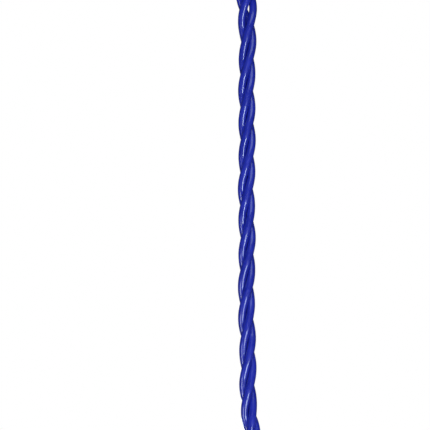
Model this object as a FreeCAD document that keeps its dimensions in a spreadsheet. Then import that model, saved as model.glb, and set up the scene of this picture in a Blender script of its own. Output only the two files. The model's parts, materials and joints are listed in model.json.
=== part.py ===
import FreeCAD, Part
import math
import os
import types
import Sketcher

# A barrier rope: three plump vinyl strands laid into a rope, held at each end in a ferrule that
# swivels on the fork of a spring-gated snap hook.
#
# Millimetres, +Z up. The origin is the point inside the upper hook's bow that bears on whatever it
# hangs from. The rope hangs down -Z, and both hooks open in the XZ plane. Each end is drawn in its
# own frame, with the bearing point at zero and the rope leaving along -Z, and then placed.

DIMENSIONS = (
    # alias, size, what it is
    ("rope_length", 1000.0, "rope showing between the two ferrule mouths"),
    ("rope_diameter", 38.0, "circle round the three laid strands"),
    ("rope_insertion", 22.0, "rope inside each ferrule"),
    ("strand_gap", 0.6, "daylight between neighbouring strands"),
    ("strand_wall", 1.2, "vinyl sleeve of a strand"),
    ("core_clearance", 0.1, "between the sleeve and its fibre core, on the radius"),
    ("lay_length", 215.0, "one full turn of a strand"),
    ("cage_swell", 4.4, "how far the lay opens below the upper ferrule, on the radius"),
    ("cage_drop", 38.0, "upper ferrule mouth to the widest part of the opened lay"),
    ("cage_above", 20.0, "how quickly the opened lay closes upwards"),
    ("cage_below", 60.0, "how quickly the opened lay closes downwards"),
    ("hook_bar", 7.0, "hook's bar"),
    ("hook_inside", 11.0, "hook's inner radius"),
    ("hook_spine", 21.5, "straight of the hook's back"),
    ("nose_drop", 8.0, "bow's centre to the tip of the nose"),
    ("nose_round", 1.0, "rounding of the nose's tip"),
    ("lap_length", 6.0, "half lap of the nose and the gate"),
    ("lap_gap", 0.3, "between the halves of the lap"),
    ("lap_swing", 0.8, "between the gate's shoulder and the nose"),
    ("pivot_drop", 4.0, "foot's centre down to the gate's pivot"),
    ("lug_radius", 4.8, "ears round the gate's pivot"),
    ("lug_ear", 2.0, "one ear of the lug"),
    ("lug_gap", 6.2, "between the ears of the lug"),
    ("edge_round", 0.8, "rounding of the edges of the lug, the gate and the fork"),
    ("gate_width", 6.0, "gate, across the opening"),
    ("gate_side", 0.6, "between the gate's blade and each ear of the lug"),
    ("knuckle_radius", 4.0, "round of the gate about its pivot"),
    ("knuckle_room", 1.6, "between the knuckle's round and the bottom of the lug's slot"),
    ("knuckle_neck", 0.4, "knuckle's round to the foot of the blade"),
    ("gate_pin_diameter", 3.0, "gate's rivet"),
    ("running_fit", 0.05, "between a turning hole and its pin, on the radius"),
    ("rivet_fit", 0.02, "between a fixed hole and its pin, on the radius"),
    ("rivet_head", 0.7, "height of a rivet's head"),
    ("rivet_flare", 0.8, "how far a rivet's head is wider than its shank, on the radius"),
    ("rivet_crown", 0.6, "how far a rivet's head draws in towards its top, on the radius"),
    ("spring_wire", 0.5, "gate spring's wire"),
    ("spring_pitch", 0.55, "one turn of the gate spring to the next"),
    ("spring_side", 0.125, "gap on each side of the spring and of the gate's knuckle"),
    ("spring_fit", 0.25, "between the spring's leg and the gate"),
    ("spring_leg", 11.0, "spring's leg along the gate"),
    ("spring_tail", 3.9, "spring's leg against the lug"),
    ("tail_width", 10.0, "neck between the hook's bar and its tail eye"),
    ("eye_radius", 6.2, "tail eye of the hook"),
    ("eye_depth", 6.0, "tail eye, along its pin"),
    ("eye_room", 0.5, "between the hook's bar and the fork's ears"),
    ("tilt_pin_diameter", 5.0, "pin of the fork"),
    ("fork_play", 0.15, "between the tail eye and each ear of the fork"),
    ("fork_ear", 4.0, "one ear of the fork"),
    ("fork_width", 10.0, "fork, across"),
    ("fork_room", 0.8, "between the tail eye and the bottom of the fork's slot"),
    ("fork_floor", 4.5, "bottom of the fork's slot to its flat underside"),
    ("flange_diameter", 16.0, "round flange under the fork"),
    ("flange_height", 2.5, "round flange under the fork"),
    ("stem_diameter", 8.0, "stem that the ferrule turns on"),
    ("stem_fit", 0.1, "between the stem and what turns on it, on the radius"),
    ("stem_tail", 1.6, "stem past the nut"),
    ("stem_room", 5.0, "between the stem and the end of the rope"),
    ("washer_seat", 1.5, "room for the thrust washer"),
    ("washer_play", 0.1, "above and below the thrust washer"),
    ("washer_overlap", 0.6, "thrust washer smaller than the flange, on the radius"),
    ("neck_flare", 1.0, "ferrule's neck wider than the flange, on the radius"),
    ("neck_height", 6.0, "ferrule's neck"),
    ("neck_round", 2.5, "rounding where the neck meets the shoulder"),
    ("shoulder_flat", 1.0, "flat ring between the two roundings of the shoulder"),
    ("shoulder_wall", 4.0, "ferrule's shoulder"),
    ("ferrule_wall", 2.0, "ferrule's barrel"),
    ("rope_allowance", 1.5, "ferrule's bore wider than the rope, on the radius"),
    ("bead_height", 5.0, "bead round the ferrule's mouth"),
    ("bead_rise", 1.5, "how far the bead stands out"),
    ("bead_round", 1.35, "rounding of the bead"),
    ("groove_depth", 0.7, "turned grooves of the ferrule"),
    ("groove_height", 1.2, "turned grooves of the ferrule"),
    ("groove_pitch", 2.6, "turned grooves of the ferrule"),
    ("groove_drop", 5.0, "end of the shoulder's rounding to the first turned groove"),
    ("keeper_thickness", 1.2, "steel washer inside the ferrule"),
    ("keeper_play", 0.2, "between the shoulder and the steel washer"),
    ("nut_flats", 13.0, "lock nut, across its flats"),
    ("nut_height", 5.0, "lock nut"),
    ("binding_height", 12.0, "tape round the rope's end"),
    ("binding_set", 2.0, "rope's end to the tape"),
    ("binding_slack", 0.4, "tape clear of the rope's circle, on the radius"),
    ("binding_fit", 0.1, "tape clear of the ferrule's bore, on the radius"),
    ("screw_rise", 10.0, "ferrule mouth to the screws"),
    ("screw_diameter", 3.0, "shank of a ferrule screw"),
    ("screw_length", 9.0, "ferrule screw"),
    ("screw_head", 5.6, "countersunk head of a ferrule screw"),
    ("screw_sink", 0.2, "head of a ferrule screw below the barrel's surface"),
    ("screw_socket", 2.0, "socket of a ferrule screw, across its flats"),
    ("screw_socket_depth", 1.0, "socket of a ferrule screw"),
)

# Where the rope's middle runs: the share of the rope showing, counted down from the upper mouth,
# and how far it stands to +X. It drifts a little and leans over at its lower end.
ROUTE = (
    (0.02, -0.4), (0.05, -1.6), (0.13, 2.5), (0.215, -1.0), (0.30, 0.0), (0.39, 0.5),
    (0.475, -2.0), (0.56, 1.0), (0.65, -1.0), (0.735, -1.5), (0.82, 2.5), (0.90, 1.5),
    (0.945, 3.6), (0.975, 9.2),
)
MOUTH_DRIFT = 11.2           # lower mouth, to +X of the upper one
LEAN = 7.0                   # lower end off the vertical, in degrees
STRANDS = 3
POINTS_PER_TURN = 12         # corners of a strand's line in one turn
REFERENCE_SHARE = 0.496      # where strand_1 passes the +X side of the rope
LUG_FACE = 40.0              # end of the hook's bar, in degrees below level
LUG_ROOT = 50.0              # where the lug leaves the bar, in degrees below level
SPRING_TURNS = 3
SPRING_ENTRY = 180.0         # where the leg meets the coil, in degrees
SPRING_EXIT = 143.0          # where the tail leaves the coil, in degrees
GROOVES = 3
CUTTER_SPILL = 1.0           # how far a cutter runs past what it cuts
FUSE_DEPTH = 0.5             # how far a block sinks into the one it grows from

doc = FreeCAD.newDocument("barrier_rope")
sheet = doc.addObject("Spreadsheet::Sheet", "Sheet")


class Size:
    """A number of the sheet, or one worked out from it, with the formula that gives it there."""

    def __init__(self, formula, value):
        self.formula = formula
        self.value = value

    @staticmethod
    def of(number):
        return number if isinstance(number, Size) else Size("(%.9f)" % number, number)

    def __float__(self):
        return float(self.value)

    def __add__(self, other):
        other = Size.of(other)
        return Size("(%s + %s)" % (self.formula, other.formula), self.value + other.value)

    def __sub__(self, other):
        other = Size.of(other)
        return Size("(%s - %s)" % (self.formula, other.formula), self.value - other.value)

    def __mul__(self, other):
        other = Size.of(other)
        return Size("(%s * %s)" % (self.formula, other.formula), self.value * other.value)

    def __truediv__(self, other):
        other = Size.of(other)
        return Size("(%s / %s)" % (self.formula, other.formula), self.value / other.value)

    def __neg__(self):
        return Size("(0 - %s)" % self.formula, -self.value)

    def __rmul__(self, other):
        return self * other


def fill_sheet():
    """One row a dimension, with its plain number under an alias, and all of them as sizes."""
    for row, (alias, number, meaning) in enumerate(DIMENSIONS, start=1):
        sheet.set("A%d" % row, meaning)
        sheet.set("B%d" % row, "%g" % number)
        sheet.setAlias("B%d" % row, alias)
    doc.recompute()
    return types.SimpleNamespace(**{
        row[0]: Size("Sheet." + row[0], float(sheet.get(row[0]))) for row in DIMENSIONS})


size = fill_sheet()
ZERO = Size("0", 0.0)

# Sizes that follow from others.
BAR = size.hook_bar / 2
BAR_RADIUS = size.hook_inside + BAR
LUG_DEPTH = size.lug_gap + 2 * size.lug_ear
SLOT_RADIUS = size.knuckle_radius + size.knuckle_room
GATE_DEPTH = size.lug_gap - 2 * size.gate_side
SPRING_RADIUS = size.gate_width / 2 + size.spring_fit + size.spring_wire / 2
SPRING_SWEEP = 2 * math.pi * SPRING_TURNS + math.radians(SPRING_EXIT - SPRING_ENTRY)
SPRING_DEPTH = size.spring_pitch * (SPRING_SWEEP / (2 * math.pi)) + size.spring_wire
KNUCKLE_DEPTH = size.lug_gap - SPRING_DEPTH - 4 * size.spring_side
FORK_DEPTH = size.eye_depth + 2 * size.fork_play + 2 * size.fork_ear
STEM = size.stem_diameter / 2
STEM_BORE = STEM + size.stem_fit
FLANGE = size.flange_diameter / 2
NECK = FLANGE + size.neck_flare
BORE = size.rope_diameter / 2 + size.rope_allowance
BARREL = BORE + size.ferrule_wall
BEAD = BARREL + size.bead_rise
SHOULDER_ROUND = BARREL - NECK - size.neck_round - size.shoulder_flat

# Levels in an end's own frame.
BOW_LEVEL = -size.hook_inside
FOOT_LEVEL = BOW_LEVEL - size.hook_spine
NOSE_LEVEL = BOW_LEVEL - size.nose_drop
PIVOT_LEVEL = FOOT_LEVEL - size.pivot_drop
TAIL_LEVEL = FOOT_LEVEL - BAR_RADIUS
PIN_LEVEL = TAIL_LEVEL - BAR - size.eye_room - size.fork_width / 2
SLOT_LEVEL = PIN_LEVEL - size.eye_radius - size.fork_room
SEAT_LEVEL = SLOT_LEVEL - size.fork_floor
NECK_LEVEL = SEAT_LEVEL - size.washer_seat
SHOULDER_LEVEL = NECK_LEVEL - size.neck_height
CEILING_LEVEL = SHOULDER_LEVEL - size.shoulder_wall
KEEPER_LEVEL = CEILING_LEVEL - size.keeper_play
NUT_LEVEL = KEEPER_LEVEL - size.keeper_thickness
STEM_LEVEL = NUT_LEVEL - size.nut_height - size.stem_tail
ROPE_END_LEVEL = STEM_LEVEL - size.stem_room
MOUTH_LEVEL = ROPE_END_LEVEL - size.rope_insertion
SCREW_LEVEL = MOUTH_LEVEL + size.screw_rise
BEAD_LEVEL = MOUTH_LEVEL + size.bead_height


class Sketch:
    """A sketch on one of a body's own planes, with every point bound to the sheet."""

    def __init__(self, body, name, role, offset=ZERO):
        self.item = body.newObject("Sketcher::SketchObject", name)
        plane = [p for p in body.Origin.OriginFeatures if p.Role == role][0]
        self.item.AttachmentSupport = [(plane, "")]
        self.item.MapMode = "FlatFace"
        self.item.setExpression(".AttachmentOffset.Base.z", offset.formula)

    def bind(self, kind, geometry, point, length):
        if point:
            constraint = Sketcher.Constraint(kind, geometry, point, float(length))
        else:
            constraint = Sketcher.Constraint(kind, geometry, float(length))
        number = self.item.addConstraint(constraint)
        self.item.setExpression("Constraints[%d]" % number, length.formula)

    def place(self, geometry, point, across, up):
        self.bind("DistanceX", geometry, point, across)
        self.bind("DistanceY", geometry, point, up)

    def meet(self, first, second):
        """The end of one line is the start of the next."""
        self.item.addConstraint(Sketcher.Constraint("Coincident", first, 2, second, 1))

    def circle(self, across, up, radius):
        centre = FreeCAD.Vector(float(across), float(up), 0)
        shape = Part.Circle(centre, FreeCAD.Vector(0, 0, 1), float(radius))
        geometry = self.item.addGeometry(shape, False)
        self.place(geometry, 3, across, up)
        self.bind("Radius", geometry, 0, radius)
        return self.item

    def outline(self, corners):
        """A closed outline of straight sides."""
        ends = [FreeCAD.Vector(float(x), float(y), 0) for x, y in corners]
        sides = [Part.LineSegment(a, b) for a, b in zip(ends, ends[1:] + ends[:1])]
        lines = self.item.addGeometry(sides, False)
        for here, line in enumerate(lines):
            self.meet(line, lines[(here + 1) % len(lines)])
        for line, (x, y) in zip(lines, corners):
            self.place(line, 1, x, y)
        return self.item

    def box(self, left, low, right, high):
        return self.outline([(left, low), (right, low), (right, high), (left, high)])


def new_body(label, placement):
    body = doc.addObject("PartDesign::Body", label)
    body.Label = label
    body.Placement = placement
    return body


def both_ways(body, kind, sketch, depth):
    """A Pad or Pocket that runs the same distance to each side of its sketch."""
    feature = body.newObject("PartDesign::" + kind, kind)
    feature.Profile = sketch
    feature.Midplane = True
    feature.setExpression("Length", depth.formula)
    doc.recompute()
    return feature


def cut_through(body, sketch, depth):
    """A Pocket both ways, which has to take something away."""
    before = body.Shape.Volume
    feature = both_ways(body, "Pocket", sketch, depth)
    assert body.Shape.Volume < before, "nothing was cut by " + sketch.Name
    return feature


def turned(body, kind, sketch):
    """A Revolution or Groove about Z of a sketch whose X is the radius."""
    feature = body.newObject("PartDesign::" + kind, kind)
    feature.Profile = sketch
    feature.ReferenceAxis = (sketch, ["V_Axis"])
    doc.recompute()
    return feature


def turned_away(body, name, inner, low, outer, high):
    """A Groove that takes away everything between two radii and two levels."""
    before = body.Shape.Volume
    feature = turned(body, "Groove", Sketch(body, name, "XZ_Plane").box(inner, low, outer, high))
    assert body.Shape.Volume < before, "nothing was turned away by " + name
    return feature


def rounded(body, radius, wanted):
    """Fillet the edges that a test picks."""
    base = body.Tip
    names = ["Edge%d" % number for number, edge in enumerate(base.Shape.Edges, start=1)
             if wanted(edge)]
    assert names, "no edge to round"
    fillet = body.newObject("PartDesign::Fillet", "Fillet")
    fillet.Base = (base, names)
    fillet.setExpression("Radius", radius.formula)
    doc.recompute()
    return fillet


def is_ring(radius, level):
    """A test for circular edges about Z."""
    def test(edge):
        curve = edge.Curve
        return (isinstance(curve, Part.Circle) and abs(curve.Radius - float(radius)) < 0.01
                and abs(curve.Center.z - float(level)) < 0.01)
    return test


def is_on_faces(depth):
    """A test for edges that lie on either face of a pad across XZ."""
    def test(edge):
        box = edge.BoundBox
        return box.YLength < 0.01 and abs(abs(box.YMin) - float(depth) / 2) < 0.01
    return test


def cylinder(name, radius, low, high):
    item = doc.addObject("Part::Cylinder", name)
    item.setExpression("Radius", radius.formula)
    item.setExpression("Height", (high - low).formula)
    item.setExpression(".Placement.Base.z", low.formula)
    return item


def lay_across(item, x, low, z):
    """Turn a primitive to run along Y from low, through a point of the XZ plane."""
    item.Placement.Rotation = FreeCAD.Rotation(FreeCAD.Vector(1, 0, 0), -90)
    item.setExpression(".Placement.Base.x", x.formula)
    item.setExpression(".Placement.Base.y", low.formula)
    item.setExpression(".Placement.Base.z", z.formula)
    return item


def joined(label, pieces, placement):
    item = doc.addObject("Part::MultiFuse", label)
    item.Label = label
    item.Shapes = pieces
    item.Placement = placement
    return item


def cut(label, base, tool, placement):
    item = doc.addObject("Part::Cut", label)
    item.Label = label
    item.Base = base
    item.Tool = tool
    item.Placement = placement
    return item


def ring(label, outer, inner, low, high, placement):
    """A flat ring about Z."""
    body = cylinder(label + "_round", outer, low, high)
    hole = cylinder(label + "_hole", inner, low - CUTTER_SPILL, high + CUTTER_SPILL)
    return cut(label, body, hole, placement)


def rivet_end(name, radius, x, z, low, foot, top):
    """A rivet's head along Y from low, as wide as foot there and as top at its other face."""
    head = doc.addObject("Part::Cone", name)
    head.setExpression("Radius1", (radius + foot).formula)
    head.setExpression("Radius2", (radius + top).formula)
    head.setExpression("Height", size.rivet_head.formula)
    return lay_across(head, x, low, z)


def rivet(label, diameter, x, z, grip, placement):
    """A pin along Y with a low head on each side of what it grips."""
    half = grip / 2
    radius = diameter / 2
    shank = doc.addObject("Part::Cylinder", label + "_shank")
    shank.setExpression("Radius", radius.formula)
    shank.setExpression("Height", grip.formula)
    lay_across(shank, x, -half, z)
    wide = size.rivet_flare
    narrow = size.rivet_flare - size.rivet_crown
    front = rivet_end(label + "_front", radius, x, z, -half - size.rivet_head, narrow, wide)
    back = rivet_end(label + "_back", radius, x, z, half, wide, narrow)
    return joined(label, [shank, front, back], placement)


def rounded_line(points):
    """Straight runs joined by tangent arcs, each arc as large as its two runs allow."""
    edges = []
    radii = []
    start = points[0]
    for before, corner, after in zip(points, points[1:], points[2:]):
        back = (before - corner).normalize()
        on = (after - corner).normalize()
        turn = math.pi - back.getAngle(on)
        reach = 0.45 * min((before - corner).Length, (after - corner).Length)
        radius = reach / math.tan(turn / 2)
        inward = (back + on).normalize()
        middle = corner + inward * (radius / math.cos(turn / 2) - radius)
        arc_start = corner + back * reach
        arc_end = corner + on * reach
        edges.append(Part.LineSegment(start, arc_start).toShape())
        edges.append(Part.Arc(arc_start, middle, arc_end).toShape())
        radii.append(radius)
        start = arc_end
    edges.append(Part.LineSegment(start, points[-1]).toShape())
    return Part.Wire(edges), radii


def tube(label, points, outer, inner, placement):
    """A round bar, or a pipe with an inner radius, along a line of runs and arcs."""
    line, radii = rounded_line(points)
    heading = points[1] - points[0]
    section = Part.Face(Part.Wire([Part.makeCircle(outer, points[0], heading)]))
    area = math.pi * (outer ** 2 - inner ** 2)
    if inner:
        section = section.cut(Part.Face(Part.Wire([Part.makeCircle(inner, points[0], heading)])))
        section = section.Faces[0]
    item = doc.addObject("Part::Feature", label)
    item.Label = label
    item.Shape = line.makePipe(section)
    item.Placement = placement
    share = item.Shape.Volume / (area * line.Length)
    print("%s: length %.1f, radii %.1f to %.1f, volume over section x length %.4f"
          % (label, line.Length, min(radii), max(radii), share))
    assert 0.99 < share < 1.01, label + " lost volume"
    return item


class RopeLine:
    """The middle of the rope, and where a strand is at a distance along it."""

    def __init__(self):
        self.length = float(size.rope_length)
        self.insertion = float(size.rope_insertion)
        self.lay = float(size.lay_length)
        self.mouth = FreeCAD.Vector(0, 0, float(MOUTH_LEVEL))
        lean = math.radians(LEAN)
        self.lower_mouth = self.mouth + FreeCAD.Vector(MOUTH_DRIFT, 0, -self.length)
        self.lower_heading = FreeCAD.Vector(math.sin(lean), 0, -math.cos(lean))
        poles = [self.mouth + FreeCAD.Vector(0, 0, self.insertion), self.mouth]
        poles += [self.mouth + FreeCAD.Vector(x, 0, -share * self.length) for share, x in ROUTE]
        poles += [self.lower_mouth, self.lower_mouth + self.lower_heading * self.insertion]
        spans = len(poles) - 2
        self.curve = Part.BSplineCurve()
        self.curve.buildFromPolesMultsKnots(
            poles, [3] + [1] * (spans - 1) + [3], range(spans + 1), False, 2)
        self.total = self.curve.length()
        self.strand_radius, self.helix_radius = self.strand_sizes()

    def neighbour_distance(self, radius):
        """Closest distance between the middles of two strands on a helix of this radius."""
        rise = self.lay / (2 * math.pi)
        apart = 2 * math.pi / STRANDS
        shift = radius ** 2 * math.sin(apart) / (rise ** 2 + radius ** 2 * math.cos(apart))
        across_lay = 2 * radius ** 2 * (1 - math.cos(apart - shift))
        return math.sqrt(across_lay + (rise * shift) ** 2)

    def strand_sizes(self):
        """Strands as thick as fit side by side in the rope's circle, less the gap."""
        rope_radius = float(size.rope_diameter) / 2
        gap = float(size.strand_gap)
        strand = rope_radius / 2
        for _ in range(60):
            strand = 0.5 * strand + 0.25 * (self.neighbour_distance(rope_radius - strand) - gap)
        return strand, rope_radius - strand

    def opened(self, distance):
        """How far the lay stands open at a distance below the upper mouth."""
        away = distance - float(size.cage_drop)
        width = float(size.cage_below) if away > 0 else float(size.cage_above)
        return float(size.cage_swell) * math.exp(-(away / width) ** 2)

    def turn_at(self, distance):
        """Direction of strand_1 from the rope's middle: 0 is +X, and it falls going down."""
        return -2 * math.pi * (distance - REFERENCE_SHARE * self.length) / self.lay

    def strand_point(self, number, distance):
        """A corner of a strand's line, a little outside the helix that its arcs follow."""
        along = self.curve.parameterAtDistance(distance + self.insertion)
        middle = self.curve.value(along)
        heading = FreeCAD.Vector(*self.curve.tangent(along)[0])
        side = FreeCAD.Vector(-heading.z, 0, heading.x)
        depth = FreeCAD.Vector(0, 1, 0)
        half_step = math.pi / POINTS_PER_TURN
        radius = (self.helix_radius + self.opened(distance)) / math.cos(half_step)
        turn = self.turn_at(distance) + 2 * math.pi * number / STRANDS
        return middle + side * (radius * math.cos(turn)) + depth * (radius * math.sin(turn))

    def strand_line(self, number):
        """Corners spaced evenly down a whole strand."""
        count = round(self.total * POINTS_PER_TURN / self.lay)
        step = self.total / count
        return [self.strand_point(number, k * step - self.insertion) for k in range(count + 1)]


class End:
    """Name and place of one end, and where its first screw points in the end's own frame.

    The fork and the ferrule follow the rope, and the hook hangs plumb from the tilt pin.
    """

    def __init__(self, name, placement, hook_placement, screw_turn):
        self.name = name
        self.placement = placement
        self.hook_placement = hook_placement
        self.screw_turn = screw_turn

    def label(self, piece):
        return self.name + "_" + piece


def two_ends(rope):
    """The upper end hangs at the origin, and the lower one is turned over onto the rope."""
    screw_rise = float(size.screw_rise)
    top = End("top", FreeCAD.Placement(), FreeCAD.Placement(), rope.turn_at(-screw_rise))
    upright = FreeCAD.Vector(0, 1, 0)
    in_line = rope.lower_mouth - rope.lower_heading * float(MOUTH_LEVEL)
    placement = FreeCAD.Placement(in_line, FreeCAD.Rotation(upright, 180 - LEAN))
    tilt_pin = placement.multVec(FreeCAD.Vector(0, 0, float(PIN_LEVEL)))
    bearing = tilt_pin + FreeCAD.Vector(0, 0, float(PIN_LEVEL))
    plumb = FreeCAD.Placement(bearing, FreeCAD.Rotation(upright, 180))
    lower_distance = rope.total - 2 * rope.insertion + screw_rise
    bottom = End("bottom", placement, plumb, math.pi - rope.turn_at(lower_distance))
    print("lower tilt pin %s, lower bearing %s" % (tilt_pin, bearing))
    return top, bottom


def hook_line(body):
    """The bar's middle: nose, bow, back and foot."""
    sketch = Sketch(body, "hook_line", "XZ_Plane")
    radius = float(BAR_RADIUS)
    bow = FreeCAD.Vector(0, float(BOW_LEVEL), 0)
    foot = FreeCAD.Vector(0, float(FOOT_LEVEL), 0)
    right = FreeCAD.Vector(radius, 0, 0)
    nose = FreeCAD.Vector(radius, float(NOSE_LEVEL), 0)
    upright = FreeCAD.Vector(0, 0, 1)
    foot_end = 2 * math.pi - math.radians(LUG_FACE)
    nose_line, bow_arc, back_line, foot_arc = sketch.item.addGeometry([
        Part.LineSegment(nose, bow + right),
        Part.ArcOfCircle(Part.Circle(bow, upright, radius), 0, math.pi),
        Part.LineSegment(bow - right, foot - right),
        Part.ArcOfCircle(Part.Circle(foot, upright, radius), math.pi, foot_end),
    ], False)
    sketch.place(nose_line, 1, BAR_RADIUS, NOSE_LEVEL)
    sketch.place(nose_line, 2, BAR_RADIUS, BOW_LEVEL)
    sketch.place(back_line, 1, -BAR_RADIUS, BOW_LEVEL)
    sketch.place(back_line, 2, -BAR_RADIUS, FOOT_LEVEL)
    sketch.meet(nose_line, bow_arc)
    sketch.meet(bow_arc, back_line)
    sketch.meet(back_line, foot_arc)
    sketch.bind("DistanceY", bow_arc, 3, BOW_LEVEL)
    sketch.place(foot_arc, 3, ZERO, FOOT_LEVEL)
    sketch.bind("DistanceX", foot_arc, 2, BAR_RADIUS * math.cos(math.radians(LUG_FACE)))
    return sketch.item


def lug_outline(body):
    """Block from the end of the bar to the gate's pivot, as wide as the ears."""
    slope = math.radians(LUG_ROOT)
    root_x = BAR_RADIUS * math.cos(slope)
    root_z = FOOT_LEVEL - BAR_RADIUS * math.sin(slope)
    lean = math.atan2(float(BAR_RADIUS - root_x), float(PIVOT_LEVEL - root_z))
    side_x = size.lug_radius * math.cos(lean)
    side_z = size.lug_radius * math.sin(lean)
    return Sketch(body, "lug_block", "XZ_Plane").outline([
        (BAR_RADIUS - side_x, PIVOT_LEVEL + side_z), (root_x - side_x, root_z + side_z),
        (root_x + side_x, root_z - side_z), (BAR_RADIUS + side_x, PIVOT_LEVEL - side_z),
    ])


def hook_body(end):
    """Bent bar with a half-lapped nose, a slotted lug for the gate and a flat tail eye."""
    body = new_body(end.label("hook_body"), end.hook_placement)
    section = Sketch(body, "bar_section", "XY_Plane", NOSE_LEVEL).circle(BAR_RADIUS, ZERO, BAR)
    line = hook_line(body)
    doc.recompute()
    pipe = body.newObject("PartDesign::AdditivePipe", "Bar")
    pipe.Profile = section
    pipe.Spine = (line, ["Edge1", "Edge2", "Edge3", "Edge4"])
    doc.recompute()
    rounded(body, size.nose_round, is_ring(BAR, NOSE_LEVEL))
    both_ways(body, "Pad", lug_outline(body), LUG_DEPTH)
    ears = Sketch(body, "ears", "XZ_Plane").circle(BAR_RADIUS, PIVOT_LEVEL, size.lug_radius)
    both_ways(body, "Pad", ears, LUG_DEPTH)
    rounded(body, size.edge_round, is_on_faces(LUG_DEPTH))
    slot = Sketch(body, "slot", "XZ_Plane").circle(BAR_RADIUS, PIVOT_LEVEL, SLOT_RADIUS)
    cut_through(body, slot, size.lug_gap)
    half_tail = size.tail_width / 2
    neck = Sketch(body, "tail", "XZ_Plane").box(-half_tail, PIN_LEVEL, half_tail, TAIL_LEVEL)
    both_ways(body, "Pad", neck, size.eye_depth)
    eye = Sketch(body, "eye", "XZ_Plane").circle(ZERO, PIN_LEVEL, size.eye_radius)
    both_ways(body, "Pad", eye, size.eye_depth)
    lap = Sketch(body, "lap", "XZ_Plane").box(
        BAR_RADIUS - size.hook_bar, NOSE_LEVEL - CUTTER_SPILL,
        BAR_RADIUS + size.lap_gap / 2, NOSE_LEVEL + size.lap_length)
    cut_through(body, lap, 2 * size.hook_bar)
    gate_hole = Sketch(body, "gate_hole", "XZ_Plane").circle(
        BAR_RADIUS, PIVOT_LEVEL, size.gate_pin_diameter / 2 + size.rivet_fit)
    cut_through(body, gate_hole, 2 * LUG_DEPTH)
    eye_hole = Sketch(body, "eye_hole", "XZ_Plane").circle(
        ZERO, PIN_LEVEL, size.tilt_pin_diameter / 2 + size.running_fit)
    cut_through(body, eye_hole, 2 * size.eye_depth)
    return body


def gate(end):
    """Flat gate that closes behind the nose and turns on a narrower knuckle."""
    body = new_body(end.label("gate"), end.hook_placement)
    inner = BAR_RADIUS - size.gate_width / 2
    outer = BAR_RADIUS + size.gate_width / 2
    lap_face = BAR_RADIUS - size.lap_gap / 2
    foot = PIVOT_LEVEL + size.knuckle_radius + size.knuckle_neck
    shoulder = NOSE_LEVEL - size.lap_swing
    tip = NOSE_LEVEL + size.lap_length - size.lap_gap
    blade = Sketch(body, "blade", "XZ_Plane").outline([
        (inner, foot), (outer, foot), (outer, shoulder), (lap_face, shoulder), (lap_face, tip),
        (inner, tip),
    ])
    both_ways(body, "Pad", blade, GATE_DEPTH)
    rounded(body, size.edge_round, is_on_faces(GATE_DEPTH))
    aside = size.lug_gap / 2 - KNUCKLE_DEPTH / 2 - 2 * size.spring_side
    neck = Sketch(body, "knuckle_neck", "XZ_Plane", aside).box(
        inner, PIVOT_LEVEL, outer, foot + FUSE_DEPTH + size.edge_round)
    both_ways(body, "Pad", neck, KNUCKLE_DEPTH)
    round_end = Sketch(body, "knuckle", "XZ_Plane", aside).circle(
        BAR_RADIUS, PIVOT_LEVEL, size.knuckle_radius)
    both_ways(body, "Pad", round_end, KNUCKLE_DEPTH)
    hole = Sketch(body, "pivot_hole", "XZ_Plane").circle(
        BAR_RADIUS, PIVOT_LEVEL, size.gate_pin_diameter / 2 + size.running_fit)
    cut_through(body, hole, 2 * size.lug_gap)
    return body


def gate_spring(end):
    """Torsion spring beside the knuckle: a leg up the gate, the coil and a tail on the lug."""
    wire = float(size.spring_wire) / 2
    pivot = FreeCAD.Vector(float(BAR_RADIUS), 0, float(PIVOT_LEVEL))
    outer_side = float(size.lug_gap / 2 - size.spring_side) - wire
    inner_side = outer_side - float(SPRING_DEPTH) + 2 * wire
    start = math.radians(SPRING_ENTRY)
    count = math.ceil(SPRING_SWEEP * POINTS_PER_TURN / (2 * math.pi))
    corner_radius = float(SPRING_RADIUS) / math.cos(SPRING_SWEEP / count / 2)
    points = [pivot + FreeCAD.Vector(-float(SPRING_RADIUS), inner_side, float(size.spring_leg))]
    for k in range(count + 1):
        turn = start + SPRING_SWEEP * k / count
        side = inner_side + (outer_side - inner_side) * k / count
        points.append(pivot + FreeCAD.Vector(
            corner_radius * math.cos(turn), side, corner_radius * math.sin(turn)))
    stop = start + SPRING_SWEEP
    away = FreeCAD.Vector(-math.sin(stop), 0, math.cos(stop))
    points.append(points[-1] + away * float(size.spring_tail))
    return tube(end.label("gate_spring"), points, wire, 0, end.hook_placement)


def swivel_fork(end):
    """Fork for the tail eye, turned down to a round flange, with a stem below."""
    body = new_body(end.label("swivel_fork"), end.placement)
    half = size.fork_width / 2
    block = Sketch(body, "fork_block", "XZ_Plane").box(-half, SEAT_LEVEL, half, PIN_LEVEL)
    both_ways(body, "Pad", block, FORK_DEPTH)
    crown = Sketch(body, "fork_round", "XZ_Plane").circle(ZERO, PIN_LEVEL, half)
    both_ways(body, "Pad", crown, FORK_DEPTH)
    rounded(body, size.edge_round, is_on_faces(FORK_DEPTH))
    turned_away(body, "fork_corners", FLANGE, SEAT_LEVEL - CUTTER_SPILL,
                FLANGE + FORK_DEPTH, PIN_LEVEL + size.fork_width)
    slot = Sketch(body, "fork_slot", "XZ_Plane").box(
        -size.fork_width, SLOT_LEVEL, size.fork_width, PIN_LEVEL + size.fork_width)
    cut_through(body, slot, size.eye_depth + 2 * size.fork_play)
    hole = Sketch(body, "pin_hole", "XZ_Plane").circle(
        ZERO, PIN_LEVEL, size.tilt_pin_diameter / 2 + size.rivet_fit)
    cut_through(body, hole, 2 * FORK_DEPTH)
    turned(body, "Revolution", Sketch(body, "flange_and_stem", "XZ_Plane").outline([
        (ZERO, SEAT_LEVEL + size.flange_height), (FLANGE, SEAT_LEVEL + size.flange_height),
        (FLANGE, SEAT_LEVEL), (STEM, SEAT_LEVEL), (STEM, STEM_LEVEL), (ZERO, STEM_LEVEL),
    ]))
    return body


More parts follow.
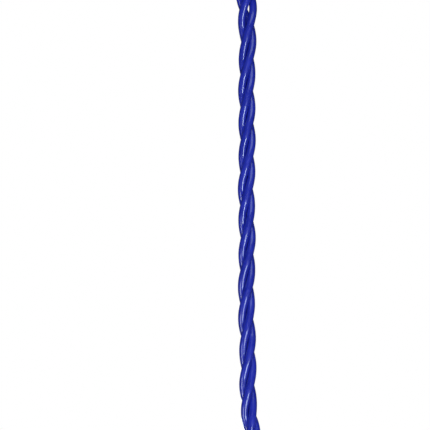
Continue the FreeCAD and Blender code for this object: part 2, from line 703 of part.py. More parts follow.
def ferrule_blank(end):
    """Turned shell: neck, rounded shoulder, thin barrel and a bead round its mouth."""
    body = new_body(end.label("ferrule_shell"), FreeCAD.Placement())
    turned(body, "Revolution", Sketch(body, "ferrule_section", "XZ_Plane").outline([
        (STEM_BORE, NECK_LEVEL), (NECK, NECK_LEVEL), (NECK, SHOULDER_LEVEL),
        (BARREL, SHOULDER_LEVEL), (BARREL, BEAD_LEVEL), (BEAD, BEAD_LEVEL), (BEAD, MOUTH_LEVEL),
        (BORE, MOUTH_LEVEL), (BORE, CEILING_LEVEL), (STEM_BORE, CEILING_LEVEL),
    ]))
    rounded(body, SHOULDER_ROUND, is_ring(BARREL, SHOULDER_LEVEL))
    rounded(body, size.neck_round, is_ring(NECK, SHOULDER_LEVEL))
    rounded(body, SHOULDER_ROUND - size.ferrule_wall, is_ring(BORE, CEILING_LEVEL))
    rounded(body, size.bead_round, is_ring(BEAD, BEAD_LEVEL))
    rounded(body, size.bead_round, is_ring(BEAD, MOUTH_LEVEL))
    return body


def grooved_ferrule(end):
    """The shell with its turned grooves."""
    body = ferrule_blank(end)
    for number in range(GROOVES):
        top = SHOULDER_LEVEL - SHOULDER_ROUND - size.groove_drop - size.groove_pitch * number
        turned_away(body, "groove_%d" % (number + 1), BARREL - size.groove_depth,
                    top - size.groove_height, BARREL + CUTTER_SPILL, top)
    return body


def screw_place(end, number):
    """Head just under the barrel's surface at the strand's own side of the ferrule."""
    turn = end.screw_turn + 2 * math.pi * number / STRANDS * (1 if end.name == "top" else -1)
    outward = FreeCAD.Vector(math.cos(turn), math.sin(turn), 0)
    seat = outward * float(BARREL - size.screw_sink)
    seat.z = float(SCREW_LEVEL)
    return FreeCAD.Placement(seat, FreeCAD.Rotation(FreeCAD.Vector(0, 0, 1), outward))


def screw_blank(label, fit):
    """Countersunk head and shank about Z, with the top of the head at zero."""
    height = (size.screw_head - size.screw_diameter) / 2
    shank_radius = size.screw_diameter / 2 + fit
    head = doc.addObject("Part::Cone", label + "_head")
    head.setExpression("Radius1", shank_radius.formula)
    head.setExpression("Radius2", (size.screw_head / 2 + fit).formula)
    head.setExpression("Height", height.formula)
    head.setExpression(".Placement.Base.z", (-height).formula)
    return [head, cylinder(label + "_shank", shank_radius, -size.screw_length, -height)]


def screw_cutter(end, number):
    """Room for one screw, out through the barrel's surface."""
    label = "%s_screw_hole_%d" % (end.name, number + 1)
    above = cylinder(label + "_above", size.screw_head / 2 + size.rivet_fit, ZERO,
                     size.ferrule_wall)
    return joined(label, screw_blank(label, size.rivet_fit) + [above], screw_place(end, number))


def socketed_screw(end, number):
    """One countersunk screw with a hexagonal socket."""
    label = "%s_screw_%d" % (end.name, number + 1)
    screw = joined(label + "_blank", screw_blank(label, ZERO), FreeCAD.Placement())
    socket = doc.addObject("Part::Prism", label + "_socket")
    socket.Polygon = 6
    socket.setExpression("Circumradius", (size.screw_socket / math.sqrt(3)).formula)
    socket.setExpression("Height", (2 * size.screw_socket_depth).formula)
    socket.setExpression(".Placement.Base.z", (-size.screw_socket_depth).formula)
    return cut(label, screw, socket, screw_place(end, number))


def ferrule(end):
    """The grooved shell drilled for its screws."""
    cutters = joined(end.label("screw_holes"),
                     [screw_cutter(end, k) for k in range(STRANDS)], FreeCAD.Placement())
    return cut(end.label("ferrule"), grooved_ferrule(end), cutters, end.placement)


def ferrule_screws(end):
    group = doc.addObject("Part::Compound", end.label("ferrule_screws"))
    group.Label = end.label("ferrule_screws")
    group.Links = [socketed_screw(end, k) for k in range(STRANDS)]
    group.Placement = end.placement
    return group


def lock_nut(end):
    label = end.label("lock_nut")
    low = NUT_LEVEL - size.nut_height
    blank = doc.addObject("Part::Prism", label + "_hexagon")
    blank.Polygon = 6
    blank.setExpression("Circumradius", (size.nut_flats / math.sqrt(3)).formula)
    blank.setExpression("Height", size.nut_height.formula)
    blank.setExpression(".Placement.Base.z", low.formula)
    hole = cylinder(label + "_hole", STEM + size.rivet_fit, low - CUTTER_SPILL,
                    NUT_LEVEL + CUTTER_SPILL)
    return cut(label, blank, hole, end.placement)


def end_pieces(end):
    """Every piece of one end, under the name of its file."""
    seat_washer = ring(
        end.label("thrust_washer"), FLANGE - size.washer_overlap, STEM_BORE,
        NECK_LEVEL + size.washer_play, SEAT_LEVEL - size.washer_play, end.placement)
    keeper = ring(
        end.label("keeper_washer"), FLANGE, STEM + size.rivet_fit, NUT_LEVEL, KEEPER_LEVEL,
        end.placement)
    binding_top = ROPE_END_LEVEL - size.binding_set
    binding = ring(
        end.label("binding"), BORE - size.binding_fit,
        size.rope_diameter / 2 + size.binding_slack, binding_top - size.binding_height,
        binding_top, end.placement)
    return {
        "hook_body": hook_body(end),
        "gate": gate(end),
        "gate_pin": rivet(end.label("gate_pin"), size.gate_pin_diameter, BAR_RADIUS, PIVOT_LEVEL,
                          LUG_DEPTH, end.hook_placement),
        "gate_spring": gate_spring(end),
        "tilt_pin": rivet(end.label("tilt_pin"), size.tilt_pin_diameter, ZERO, PIN_LEVEL,
                          FORK_DEPTH, end.placement),
        "swivel_fork": swivel_fork(end),
        "thrust_washer": seat_washer,
        "ferrule": ferrule(end),
        "ferrule_screws": ferrule_screws(end),
        "keeper_washer": keeper,
        "lock_nut": lock_nut(end),
        "binding": binding,
    }


def strand_pieces(rope):
    """Each strand is a vinyl sleeve round a fibre core."""
    inside = rope.strand_radius - float(size.strand_wall)
    core = inside - float(size.core_clearance)
    pieces = {}
    for number in range(STRANDS):
        line = rope.strand_line(number)
        name = "strand_%d" % (number + 1)
        pieces[name + "_sleeve"] = tube(
            name + "_sleeve", line, rope.strand_radius, inside, FreeCAD.Placement())
        pieces[name + "_core"] = tube(name + "_core", line, core, 0, FreeCAD.Placement())
    return pieces


def check(pieces):
    """Stop if anything in the document failed, or a piece isn't one or more sound solids."""
    for item in doc.Objects:
        bad = [state for state in item.State if state in ("Invalid", "Error")]
        assert not bad, "%s is %s" % (item.Name, bad)
    for name, item in pieces.items():
        shape = item.Shape
        assert not shape.isNull() and shape.isValid() and shape.Solids, name + " isn't sound"
        print("%-24s %d solid(s), %10.1f mm3" % (name, len(shape.Solids), shape.Volume))


def main():
    rope = RopeLine()
    top, bottom = two_ends(rope)
    print("strand radius %.3f, helix radius %.3f, line %.1f, upper mouth %.3f"
          % (rope.strand_radius, rope.helix_radius, rope.total, float(MOUTH_LEVEL)))
    pieces = strand_pieces(rope)
    for end in (top, bottom):
        for piece, item in end_pieces(end).items():
            pieces[end.label(piece)] = item
    doc.recompute()
    check(pieces)
    os.makedirs("parts", exist_ok=True)
    for name, item in pieces.items():
        item.Shape.exportStep("parts/%s.step" % name)


main()
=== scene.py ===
"""Looks of the barrier rope: laid vinyl strands, bright fittings and a white studio, in metres."""

import json
import math

import bmesh
import bpy
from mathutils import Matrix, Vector


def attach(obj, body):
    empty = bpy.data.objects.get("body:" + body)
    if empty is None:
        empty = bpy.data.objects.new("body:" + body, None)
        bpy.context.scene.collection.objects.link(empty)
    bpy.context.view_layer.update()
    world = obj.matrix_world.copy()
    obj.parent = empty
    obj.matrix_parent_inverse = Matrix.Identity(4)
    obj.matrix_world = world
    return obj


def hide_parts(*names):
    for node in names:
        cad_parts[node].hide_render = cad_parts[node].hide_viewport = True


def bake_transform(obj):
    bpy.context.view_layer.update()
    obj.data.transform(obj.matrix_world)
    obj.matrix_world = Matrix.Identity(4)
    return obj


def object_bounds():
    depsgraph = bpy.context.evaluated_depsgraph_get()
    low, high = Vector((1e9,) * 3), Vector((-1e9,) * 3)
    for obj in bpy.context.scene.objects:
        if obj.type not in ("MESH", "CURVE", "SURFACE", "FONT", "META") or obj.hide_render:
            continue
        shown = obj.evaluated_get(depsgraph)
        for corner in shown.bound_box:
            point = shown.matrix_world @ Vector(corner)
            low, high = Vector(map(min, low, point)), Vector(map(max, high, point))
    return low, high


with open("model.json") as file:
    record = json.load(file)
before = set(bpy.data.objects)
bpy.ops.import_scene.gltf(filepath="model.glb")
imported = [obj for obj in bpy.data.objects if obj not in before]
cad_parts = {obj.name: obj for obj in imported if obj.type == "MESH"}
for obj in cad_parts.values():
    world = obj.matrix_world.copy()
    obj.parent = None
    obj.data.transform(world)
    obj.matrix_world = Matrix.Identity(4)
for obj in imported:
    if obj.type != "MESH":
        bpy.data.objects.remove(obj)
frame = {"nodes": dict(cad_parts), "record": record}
nodes = frame["nodes"]
cad_low, cad_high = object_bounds()

# The rope, in metres.
ROPE_LENGTH = 1.000          # showing between the ferrule mouths
ROPE_DIAMETER = 0.038
ROPE_INSERTION = 0.022       # inside each ferrule
STRANDS = 3
STRAND_RADIUS = 0.0086
STRAND_WALL = 0.0012
LAY_LENGTH = 0.215
REFERENCE_SHARE = 0.496      # where strand_1 passes the +X side
CAGE_SWELL = 0.0044          # how far the lay opens below the upper ferrule
CAGE_DROP = 0.038
CAGE_ABOVE = 0.020
CAGE_BELOW = 0.060
MERGE_DISTANCE = 1e-7
UPPER_MOUTH = Vector((0, 0, -0.114))
LOWER_DRIFT = 0.0112
LOWER_LEAN = math.radians(7.0)
# Share of the rope showing, counted down from the upper mouth, and how far its middle is to +X.
ROUTE = (
    (0.02, -0.0004), (0.05, -0.0016), (0.13, 0.0025), (0.215, -0.0010), (0.30, 0.0),
    (0.39, 0.0005), (0.475, -0.0020), (0.56, 0.0010), (0.65, -0.0010), (0.735, -0.0015),
    (0.82, 0.0025), (0.90, 0.0015), (0.945, 0.0036), (0.975, 0.0092),
)

# How finely the strands are made, and the dents in their skin.
ROUTE_STEPS = 24             # points read from the route's spline for each of its spans
STRAND_RINGS = 540
STRAND_SIDES = 48
DENT_DEPTH = 0.0005
DENT_PATTERN = (60.0, 60.0, 36.0)  # a metre: dents are longer along the strand than round it
SEED_STEP = 3.0              # keeps the dents of one strand from matching the next

# The view: the upper edge crosses the rope a little below the widest of the opened lay.
VIEW_TOP = -0.160
VIEW_SIDE = 0.9434
VIEW_SHIFT = -0.0702         # the rope stands right of the middle
LENS = 200.0
SENSOR = 36.0
FAR_CLIP = 100.0

# The studio. Each light's glow is in watts a square metre a steradian.
FLOOR_SIZE = 3.0
FLOOR_GAP = 0.01             # under the lower hook
LIGHT_DISTANCE = 5.0
WHITE = (1.0, 1.0, 1.0)
SKY_BLUE = (0.76, 0.90, 1.0)
PALE_BLUE = (0.86, 0.93, 1.0)
CYAN_TINT = (0.8, 0.95, 1.0)

# The tent round the metal: upright panels with dark gaps between them.
METALS = ("fitting_chrome", "ferrule_chrome", "pin_steel", "spring_steel", "zinc_steel")
TENT_PANELS = 6
TENT_START = 0
TENT_PANEL = (3.4, 6.0, 0.8)  # width, height and glow


def new_object(name, data):
    item = bpy.data.objects.new(name, data)
    bpy.context.scene.collection.objects.link(item)
    return item


def make_camera():
    """A long lens, level, square to the rope."""
    data = bpy.data.cameras.new("camera")
    data.lens = LENS
    data.sensor_width = SENSOR
    camera = new_object("camera", data)
    distance = VIEW_SIDE * LENS / SENSOR
    camera.location = (VIEW_SHIFT, -distance, VIEW_TOP - VIEW_SIDE / 2)
    camera.rotation_euler = (math.pi / 2, 0, 0)
    data.clip_end = FAR_CLIP
    bpy.context.scene.camera = camera


def route_points():
    """The rope's middle, from its end in the upper ferrule to its end in the lower one."""
    down = Vector((math.sin(LOWER_LEAN), 0, -math.cos(LOWER_LEAN)))
    lower_mouth = UPPER_MOUTH + Vector((LOWER_DRIFT, 0, -ROPE_LENGTH))
    points = [UPPER_MOUTH + Vector((0, 0, ROPE_INSERTION)), UPPER_MOUTH]
    points += [UPPER_MOUTH + Vector((x, 0, -share * ROPE_LENGTH)) for share, x in ROUTE]
    return points + [lower_mouth, lower_mouth + down * ROPE_INSERTION]


def route_line():
    """Mesh of the points read from the route's own smooth spline."""
    curve = bpy.data.curves.new("route", "CURVE")
    curve.dimensions = "3D"
    curve.resolution_u = ROUTE_STEPS
    spline = curve.splines.new("NURBS")
    places = route_points()
    spline.points.add(len(places) - 1)
    for point, place in zip(spline.points, places):
        point.co = (*place, 1)
    spline.order_u = 3
    spline.use_endpoint_u = True
    item = new_object("route", curve)
    mesh = bpy.data.meshes.new_from_object(item)
    bpy.data.objects.remove(item)
    return mesh


class Tree:
    """Builds a node tree: one call places a node, sets it up and wires it."""

    def __init__(self, tree):
        self.tree = tree

    def add(self, kind, settings=(), sockets=(), out=0):
        """A node's type, its settings, then the values or wires of its sockets."""
        node = self.tree.nodes.new(kind)
        for name, value in dict(settings).items():
            if name == "stops":
                self.set_stops(node.color_ramp, value)
            else:
                setattr(node, name, value)
        pairs = sockets.items() if isinstance(sockets, dict) else enumerate(sockets)
        for place, value in pairs:
            if value is None:
                continue
            if isinstance(value, Wire):
                self.tree.links.new(value.socket, node.inputs[place])
            else:
                node.inputs[place].default_value = value
        return Wire(self, node.outputs[out])

    @staticmethod
    def set_stops(ramp, stops):
        while len(ramp.elements) < len(stops):
            ramp.elements.new(0.5)
        for element, (place, colour) in zip(ramp.elements, stops):
            element.position = place
            element.color = (*colour, 1)


class Wire:
    """A socket whose arithmetic places Math nodes."""

    def __init__(self, tree, socket):
        self.tree = tree
        self.socket = socket

    def maths(self, operation, *values):
        return self.tree.add("ShaderNodeMath", {"operation": operation}, values)

    def output(self, name):
        return Wire(self.tree, self.socket.node.outputs[name])

    def __add__(self, other):
        return self.maths("ADD", self, other)

    def __sub__(self, other):
        return self.maths("SUBTRACT", self, other)

    def __rsub__(self, other):
        return self.maths("SUBTRACT", other, self)

    def __mul__(self, other):
        return self.maths("MULTIPLY", self, other)

    def __truediv__(self, other):
        return self.maths("DIVIDE", self, other)

    def over(self, other):
        return self.maths("GREATER_THAN", self, other)

    __radd__ = __add__
    __rmul__ = __mul__


class Finish(Tree):
    """A material whose surface is one Principled shader."""

    def __init__(self, name, **constants):
        self.material = bpy.data.materials.new(name)
        self.material.use_nodes = True
        super().__init__(self.material.node_tree)
        self.shader = self.tree.nodes["Principled BSDF"]
        for socket, value in constants.items():
            self.shader.inputs[socket.replace("_", " ")].default_value = value

    def drive(self, socket, wire):
        self.tree.links.new(wire.socket, self.shader.inputs[socket])

    def place(self):
        return self.add("ShaderNodeTexCoord", out="Object")

    def attribute(self, name):
        return self.add("ShaderNodeAttribute", {"attribute_name": name}, out="Vector")

    def stretched(self, vector, scale):
        return self.add("ShaderNodeMapping", {}, {"Vector": vector, "Scale": scale})

    def noise(self, vector, scale, detail=2.0, roughness=0.5):
        sockets = {"Vector": vector, "Scale": scale, "Detail": detail, "Roughness": roughness}
        return self.add("ShaderNodeTexNoise", {}, sockets)

    def colours(self, factor, *stops):
        return self.add("ShaderNodeValToRGB", {"stops": stops}, {"Fac": factor}, out="Color")

    def bump(self, height, depth, strength=1.0):
        sockets = {"Height": height, "Distance": depth, "Strength": strength}
        self.drive("Normal", self.add("ShaderNodeBump", {}, sockets, out="Normal"))


def blue_vinyl():
    """Glossy skin of a strand: deep blue, faintly cloudy, with a fine drawn grain."""
    finish = Finish("blue_vinyl", IOR=1.5, Coat_Roughness=0.04, Coat_IOR=1.5)
    skin = finish.attribute("skin")
    cloud = finish.noise(skin, 38.0, 3.0)
    grain = finish.noise(finish.stretched(skin, (900.0, 900.0, 60.0)), 1.0, 2.0)
    finish.drive("Base Color", finish.colours(
        cloud, (0.25, (0.010, 0.019, 0.33)), (0.5, (0.014, 0.025, 0.40)),
        (0.8, (0.020, 0.033, 0.47))))
    finish.drive("Roughness", cloud * 0.10 + grain * 0.06 + 0.20)
    finish.drive("Coat Weight", cloud * 0.3 + 0.65)
    finish.bump(cloud * 0.9 + grain * 0.1, 0.00005)
    return finish.material


def bright_plate(name, wear_scale):
    """Chrome plate with cloudy wear and fine hairline scratches."""
    finish = Finish(name, Metallic=1.0)
    place = finish.place()
    cloud = finish.noise(place, wear_scale, 3.0)
    hair = finish.noise(finish.stretched(place, (2600.0, 2600.0, 90.0)), 1.0, 2.0)
    finish.drive("Base Color", finish.colours(
        cloud, (0.3, (0.60, 0.61, 0.63)), (0.7, (0.78, 0.79, 0.80))))
    finish.drive("Roughness", cloud * 0.10 + hair * 0.06 + 0.05)
    finish.bump(hair, 0.000003)
    return finish.material


def turned_plate():
    """Chrome plate over turned metal: faint rings follow the lathe."""
    finish = Finish("ferrule_chrome", Metallic=1.0)
    place = finish.place()
    rings = finish.noise(finish.stretched(place, (12.0, 12.0, 2400.0)), 1.0, 2.0)
    cloud = finish.noise(place, 90.0, 3.0)
    finish.drive("Base Color", finish.colours(
        cloud, (0.3, (0.62, 0.63, 0.65)), (0.7, (0.80, 0.81, 0.82))))
    finish.drive("Roughness", rings * 0.08 + cloud * 0.08 + 0.05)
    finish.bump(rings, 0.00001)
    return finish.material


def plain_metal(name, dark, light, rough):
    """Pins, springs, nuts and washers."""
    finish = Finish(name, Metallic=1.0)
    place = finish.place()
    cloud = finish.noise(place, 260.0, 3.0)
    grain = finish.noise(place, 2400.0, 2.0)
    finish.drive("Base Color", finish.colours(cloud, (0.3, dark), (0.7, light)))
    finish.drive("Roughness", cloud * 0.14 + grain * 0.1 + rough)
    finish.bump(grain, 0.00001)
    return finish.material


def nylon():
    """The thrust washers: milky and slightly waxy."""
    finish = Finish("nylon", Subsurface_Weight=0.2, Subsurface_Scale=0.002)
    place = finish.place()
    cloud = finish.noise(place, 300.0, 2.0)
    finish.drive("Base Color", finish.colours(
        cloud, (0.3, (0.66, 0.64, 0.57)), (0.7, (0.78, 0.76, 0.70))))
    finish.drive("Roughness", cloud * 0.15 + 0.38)
    finish.bump(finish.noise(place, 1800.0, 2.0), 0.00002)
    return finish.material


def spun_fibre():
    """The cores: undyed yarn running down the strand."""
    finish = Finish("fibre_core", Sheen_Weight=0.3)
    place = finish.place()
    yarn = finish.noise(finish.stretched(place, (1500.0, 1500.0, 120.0)), 1.0, 3.0)
    finish.drive("Base Color", finish.colours(
        yarn, (0.3, (0.42, 0.38, 0.30)), (0.7, (0.62, 0.58, 0.50))))
    finish.drive("Roughness", yarn * 0.2 + 0.75)
    finish.bump(yarn, 0.0002)
    return finish.material


def woven_tape():
    """The tape bound round the rope's two ends, inside the ferrules."""
    finish = Finish("binding_tape", Sheen_Weight=0.2)
    place = finish.place()
    warp = finish.add("ShaderNodeTexWave", {"bands_direction": "Z"},
                      {"Vector": place, "Scale": 300.0, "Distortion": 0.6}, out="Fac")
    weft = finish.noise(finish.stretched(place, (900.0, 900.0, 200.0)), 1.0, 2.0)
    weave = warp * 0.6 + weft * 0.4
    finish.drive("Base Color", finish.colours(
        weave, (0.2, (0.012, 0.012, 0.014)), (0.8, (0.045, 0.045, 0.05))))
    finish.drive("Roughness", weave * 0.2 + 0.7)
    finish.bump(weave, 0.0001)
    return finish.material


def make_finishes():
    steel = plain_metal("pin_steel", (0.42, 0.42, 0.43), (0.56, 0.56, 0.57), 0.18)
    wire = plain_metal("spring_steel", (0.20, 0.20, 0.22), (0.34, 0.34, 0.36), 0.20)
    zinc = plain_metal("zinc_steel", (0.46, 0.47, 0.46), (0.62, 0.63, 0.60), 0.26)
    return {
        "blue_vinyl": blue_vinyl(), "fibre_core": spun_fibre(),
        "fitting_chrome": bright_plate("fitting_chrome", 120.0),
        "ferrule_chrome": turned_plate(), "pin_steel": steel, "spring_steel": wire,
        "zinc_steel": zinc, "nylon": nylon(), "binding_tape": woven_tape(),
    }


STRAND_INPUTS = (
    # name, socket type, value; the strand's own turn and seed are set for each strand
    ("Turn", "NodeSocketFloat", 0.0), ("Seed", "NodeSocketFloat", 0.0),
    ("Lay length", "NodeSocketFloat", LAY_LENGTH),
    ("Helix radius", "NodeSocketFloat", ROPE_DIAMETER / 2 - STRAND_RADIUS),
    ("Strand radius", "NodeSocketFloat", STRAND_RADIUS),
    ("Insertion", "NodeSocketFloat", ROPE_INSERTION),
    ("Reference", "NodeSocketFloat", REFERENCE_SHARE * ROPE_LENGTH),
    ("Swell", "NodeSocketFloat", CAGE_SWELL), ("Swell place", "NodeSocketFloat", CAGE_DROP),
    ("Swell above", "NodeSocketFloat", CAGE_ABOVE), ("Swell below", "NodeSocketFloat", CAGE_BELOW),
    ("Rings", "NodeSocketInt", STRAND_RINGS), ("Sides", "NodeSocketInt", STRAND_SIDES),
    ("Dent depth", "NodeSocketFloat", DENT_DEPTH), ("Material", "NodeSocketMaterial", None),
)


class Shape(Tree):
    """A Geometry Nodes tree with named inputs."""

    def __init__(self, name, inputs):
        super().__init__(bpy.data.node_groups.new(name, "GeometryNodeTree"))
        face = self.tree.interface
        face.new_socket("Geometry", in_out="INPUT", socket_type="NodeSocketGeometry")
        face.new_socket("Geometry", in_out="OUTPUT", socket_type="NodeSocketGeometry")
        self.sockets = {}
        for label, kind, value in inputs:
            socket = face.new_socket(label, in_out="INPUT", socket_type=kind)
            if value is not None:
                socket.default_value = value
            self.sockets[label] = socket.identifier
        self.given = self.add("NodeGroupInput")

    def input(self, label):
        return self.given.output(label)

    def vector(self, operation, *values):
        return self.add("ShaderNodeVectorMath", {"operation": operation}, values)

    def scaled(self, vector, factor):
        sockets = {"Vector": vector, "Scale": factor}
        return self.add("ShaderNodeVectorMath", {"operation": "SCALE"}, sockets)

    def joined(self, x, y, z):
        return self.add("ShaderNodeCombineXYZ", {}, (x, y, z))

    def finish(self, geometry):
        whole = self.add("GeometryNodeRealizeInstances", {}, {"Geometry": geometry})
        sockets = {"Geometry": whole, "Material": self.input("Material")}
        painted = self.add("GeometryNodeSetMaterial", {}, sockets)
        self.add_output(painted)
        return self.tree

    def add_output(self, wire):
        node = self.tree.nodes.new("NodeGroupOutput")
        self.tree.links.new(wire.socket, node.inputs[0])


def strand_tree():
    """A strand wound round the route, opened into a cage at the top, with a slightly dented skin."""
    shape = Shape("laid_strand", STRAND_INPUTS)
    line = shape.add("GeometryNodeMeshToCurve", {}, {"Mesh": shape.input("Geometry")})
    line = shape.add("GeometryNodeResampleCurve", {}, {"Curve": line, "Count": shape.input("Rings")})
    travelled = shape.add("GeometryNodeSplineParameter", out="Length")
    below = travelled - shape.input("Insertion")
    away = below - shape.input("Swell place")
    above_width = shape.input("Swell above")
    width = above_width + away.over(0.0) * (shape.input("Swell below") - above_width)
    share = away / width
    bell = share.maths("EXPONENT", share * share * -1.0)
    opened = shape.input("Swell") * bell
    radius = shape.input("Helix radius") + opened
    turn = (below - shape.input("Reference")) / shape.input("Lay length") * (-2 * math.pi)
    turn = turn + shape.input("Turn")
    heading = shape.add("GeometryNodeInputTangent")
    side = shape.vector("CROSS_PRODUCT", heading, (0, 1, 0))
    depth = shape.joined(0.0, radius * turn.maths("SINE", turn), 0.0)
    offset = shape.vector("ADD", shape.scaled(side, radius * turn.maths("COSINE", turn)), depth)
    line = shape.add("GeometryNodeSetPosition", {}, {"Geometry": line, "Offset": offset})
    along = shape.add("GeometryNodeSplineParameter", out="Length")
    line = kept(shape, line, along, "along")
    ring = shape.add("GeometryNodeCurvePrimitiveCircle", {"mode": "RADIUS"},
                     {"Resolution": shape.input("Sides"), "Radius": shape.input("Strand radius")})
    around = shape.add("GeometryNodeSplineParameter", out="Factor")
    ring = kept(shape, ring, around, "around")
    skin = shape.add("GeometryNodeCurveToMesh", {}, {"Curve": line, "Profile Curve": ring})
    return dented(shape, skin)


def kept(shape, geometry, value, name):
    """Store a number on the points, to be read after the sweep."""
    sockets = {"Geometry": geometry, "Name": name, "Value": value}
    settings = {"data_type": "FLOAT", "domain": "POINT"}
    return shape.add("GeometryNodeStoreNamedAttribute", settings, sockets)


def stored(shape, name):
    settings = {"data_type": "FLOAT"}
    return shape.add("GeometryNodeInputNamedAttribute", settings, {"Name": name})


def dented(shape, skin):
    """Shallow dents in the skin, seamless round the strand, and the place that the finish reads."""
    turn = stored(shape, "around") * (2 * math.pi)
    radius = shape.input("Strand radius")
    place = shape.joined(radius * turn.maths("COSINE", turn), radius * turn.maths("SINE", turn),
                         stored(shape, "along") + shape.input("Seed"))
    sockets = {"Geometry": skin, "Name": "skin", "Value": place}
    settings = {"data_type": "FLOAT_VECTOR", "domain": "POINT"}
    skin = shape.add("GeometryNodeStoreNamedAttribute", settings, sockets)
    long_place = shape.vector("MULTIPLY", place, DENT_PATTERN)
    dents = shape.add("ShaderNodeTexNoise", {}, {"Vector": long_place, "Scale": 1.0, "Detail": 1.0})
    depth = (dents - 0.5) * shape.input("Dent depth")
    sockets = {"Geometry": skin, "Offset": shape.scaled(shape.add("GeometryNodeInputNormal"), depth)}
    skin = shape.add("GeometryNodeSetPosition", {}, sockets)
    return shape.finish(shape.add("GeometryNodeSetShadeSmooth", {}, {"Geometry": skin}))


def grown(name, seed_mesh, tree, sockets, values, wall):
    """The plain mesh that a tree makes, given a wall."""
    item = new_object(name, seed_mesh)
    modifier = item.modifiers.new("shape", "NODES")
    modifier.node_group = tree
    for label, value in values.items():
        modifier[sockets[label]] = value
    solid = item.modifiers.new("wall", "SOLIDIFY")
    solid.thickness = wall
    solid.offset = -1
    view = bpy.context.evaluated_depsgraph_get()
    mesh = bpy.data.meshes.new_from_object(item.evaluated_get(view), depsgraph=view)
    mesh.name = name
    item.modifiers.clear()
    item.data = mesh
    return item


def make_strands(finishes):
    """Three strands on one route, each a third of a turn on from the last."""
    tree = strand_tree()
    sockets = {item.name: item.identifier for item in tree.interface.items_tree
               if item.in_out == "INPUT"}
    strands = []
    for number in range(STRANDS):
        name = "strand_%d" % (number + 1)
        values = {"Turn": 2 * math.pi * number / STRANDS, "Seed": SEED_STEP * number,
                  "Material": finishes["blue_vinyl"]}
        strand = grown(name, route_line(), tree, sockets, values, STRAND_WALL)
        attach(strand, "rope")
        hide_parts(name + "_sleeve")
        strands.append(strand)
    path = [tuple(vertex.co) for vertex in route_line().vertices]
    return strands


def wound_spring(end, finishes):
    """A gate's spring, copied from its CAD node: doubled points merged, shaded smooth, in spring
    steel.
    """
    node = end + "_gate_spring"
    shell = bmesh.new()
    shell.from_mesh(nodes[node].data)
    bmesh.ops.remove_doubles(shell, verts=shell.verts, dist=MERGE_DISTANCE)
    mesh = bpy.data.meshes.new(end + "_spring_wire")
    shell.to_mesh(mesh)
    shell.free()
    mesh.polygons.foreach_set("use_smooth", [True] * len(mesh.polygons))
    mesh.materials.append(finishes["spring_steel"])
    spring = new_object(end + "_spring_wire", mesh)
    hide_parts(node)
    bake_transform(spring)
    return spring


def finish_cad_nodes(finishes):
    """Every CAD node shows the finish of its own slot."""
    for entry in frame["record"]["subparts"]:
        item = nodes[entry["node"]]
        material = finishes[entry["material_slot"]]
        for place in item.material_slots:
            place.material = material


def make_stage():
    """A pale floor just under the lower hook, hidden from shadows and from gloss."""
    bpy.ops.mesh.primitive_plane_add(size=FLOOR_SIZE, location=(0, 0, cad_low.z - FLOOR_GAP))
    floor = bpy.context.object
    floor.name = "floor"
    pale = Finish("pale_floor")
    pale.drive("Base Color", pale.colours(pale.noise(pale.place(), 2.0),
                                          (0.3, (0.80, 0.80, 0.80)), (0.7, (0.84, 0.84, 0.84))))
    floor.data.materials.append(pale.material)
    floor.visible_shadow = False
    floor.visible_glossy = False
    return floor


def make_world():
    """White to the camera, a faint even light on surfaces, and near dark in reflections."""
    world = bpy.data.worlds.new("studio")
    world.use_nodes = True
    bpy.context.scene.world = world
    world.node_tree.nodes.clear()
    tree = Tree(world.node_tree)
    ray = tree.add("ShaderNodeLightPath", out="Is Camera Ray")
    white = tree.add("ShaderNodeBackground", {}, {"Color": (1, 1, 1, 1), "Strength": 1.0})
    grey = tree.add("ShaderNodeBackground", {}, {"Color": (0.95, 0.97, 1.0, 1), "Strength": 0.12})
    dark = tree.add("ShaderNodeBackground", {}, {"Color": (0.6, 0.7, 1.0, 1), "Strength": 0.04})
    unseen = tree.add("ShaderNodeMixShader", {}, (ray.output("Is Glossy Ray"), grey, dark))
    both = tree.add("ShaderNodeMixShader", {}, (ray, unseen, white))
    output = world.node_tree.nodes.new("ShaderNodeOutputWorld")
    world.node_tree.links.new(both.socket, output.inputs["Surface"])


def light_group(name, pieces):
    """The pieces that some lights are kept to."""
    group = bpy.data.collections.new(name)
    for piece in pieces:
        group.objects.link(piece)
    return group


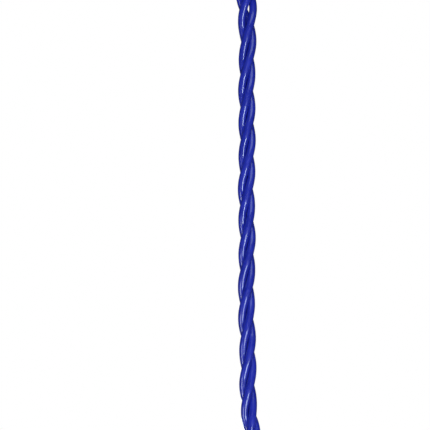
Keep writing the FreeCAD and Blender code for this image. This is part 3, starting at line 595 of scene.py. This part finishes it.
def make_light(name, turn, rise, width, height, glow, colour, seen="DG", distance=LIGHT_DISTANCE,
               only=None):
    """A soft box, turned from the camera's side about the rope's middle: minus is to the left.

    Seen says whether it lights surfaces (D), shows in their gloss (G), or both. Only is the group
    of pieces that it is kept to.
    """
    data = bpy.data.lights.new(name, "AREA")
    data.shape = "RECTANGLE"
    data.size = width
    data.size_y = height
    data.energy = glow * math.pi * width * height
    data.color = colour
    item = new_object(name, data)
    middle = (cad_low + cad_high) / 2
    turn = math.radians(turn)
    rise = math.radians(rise)
    level = math.cos(rise)
    away = Vector((math.sin(turn) * level, -math.cos(turn) * level, math.sin(rise)))
    item.location = middle + away * distance
    item.rotation_euler = away.to_track_quat("Z", "Y").to_euler()
    item.visible_camera = False
    item.visible_diffuse = "D" in seen
    item.visible_glossy = "G" in seen
    item.light_linking.receiver_collection = only


def make_lights(floor, springs):
    """Soft boxes for the whole rope, then a tent of panels for the bright metal alone."""
    make_light("front_panel", 0, 4, 2.2, 2.2, 10.0, WHITE, "D")
    make_light("back_panel", 180, 4, 2.2, 2.2, 8.0, WHITE, "D")
    make_light("key_box", 25, -27, 0.70, 2.0, 24.0, SKY_BLUE, "G")
    make_light("upper_box", 2, 37, 5.0, 1.5, 1.8, CYAN_TINT)
    make_light("low_box", -47, -40, 0.5, 0.9, 9.0, PALE_BLUE, "G", distance=2.5)
    make_light("back_key", 205, -27, 0.70, 2.0, 14.0, SKY_BLUE, "G")
    fittings = [nodes[entry["node"]] for entry in frame["record"]["subparts"]
                if entry["material_slot"] in METALS]
    metal = light_group("metal", fittings + springs)
    for number in range(TENT_PANELS):
        turn = TENT_START + number * 360 / TENT_PANELS
        make_light("tent_%d" % (number + 1), turn, 0, *TENT_PANEL, WHITE, "G", only=metal)
    make_light("tent_top", 0, 80, 3.6, 3.6, 1.0, WHITE, "G", only=metal)
    make_light("floor_panel", 0, 85, 4.0, 4.0, 4.4, WHITE, "D",
               only=light_group("stage", [floor]))


make_camera()
bpy.context.scene.view_settings.view_transform = "Standard"
finishes = make_finishes()
make_strands(finishes)
springs = [wound_spring(end, finishes) for end in ("top", "bottom")]
finish_cad_nodes(finishes)
floor = make_stage()
make_world()
make_lights(floor, springs)
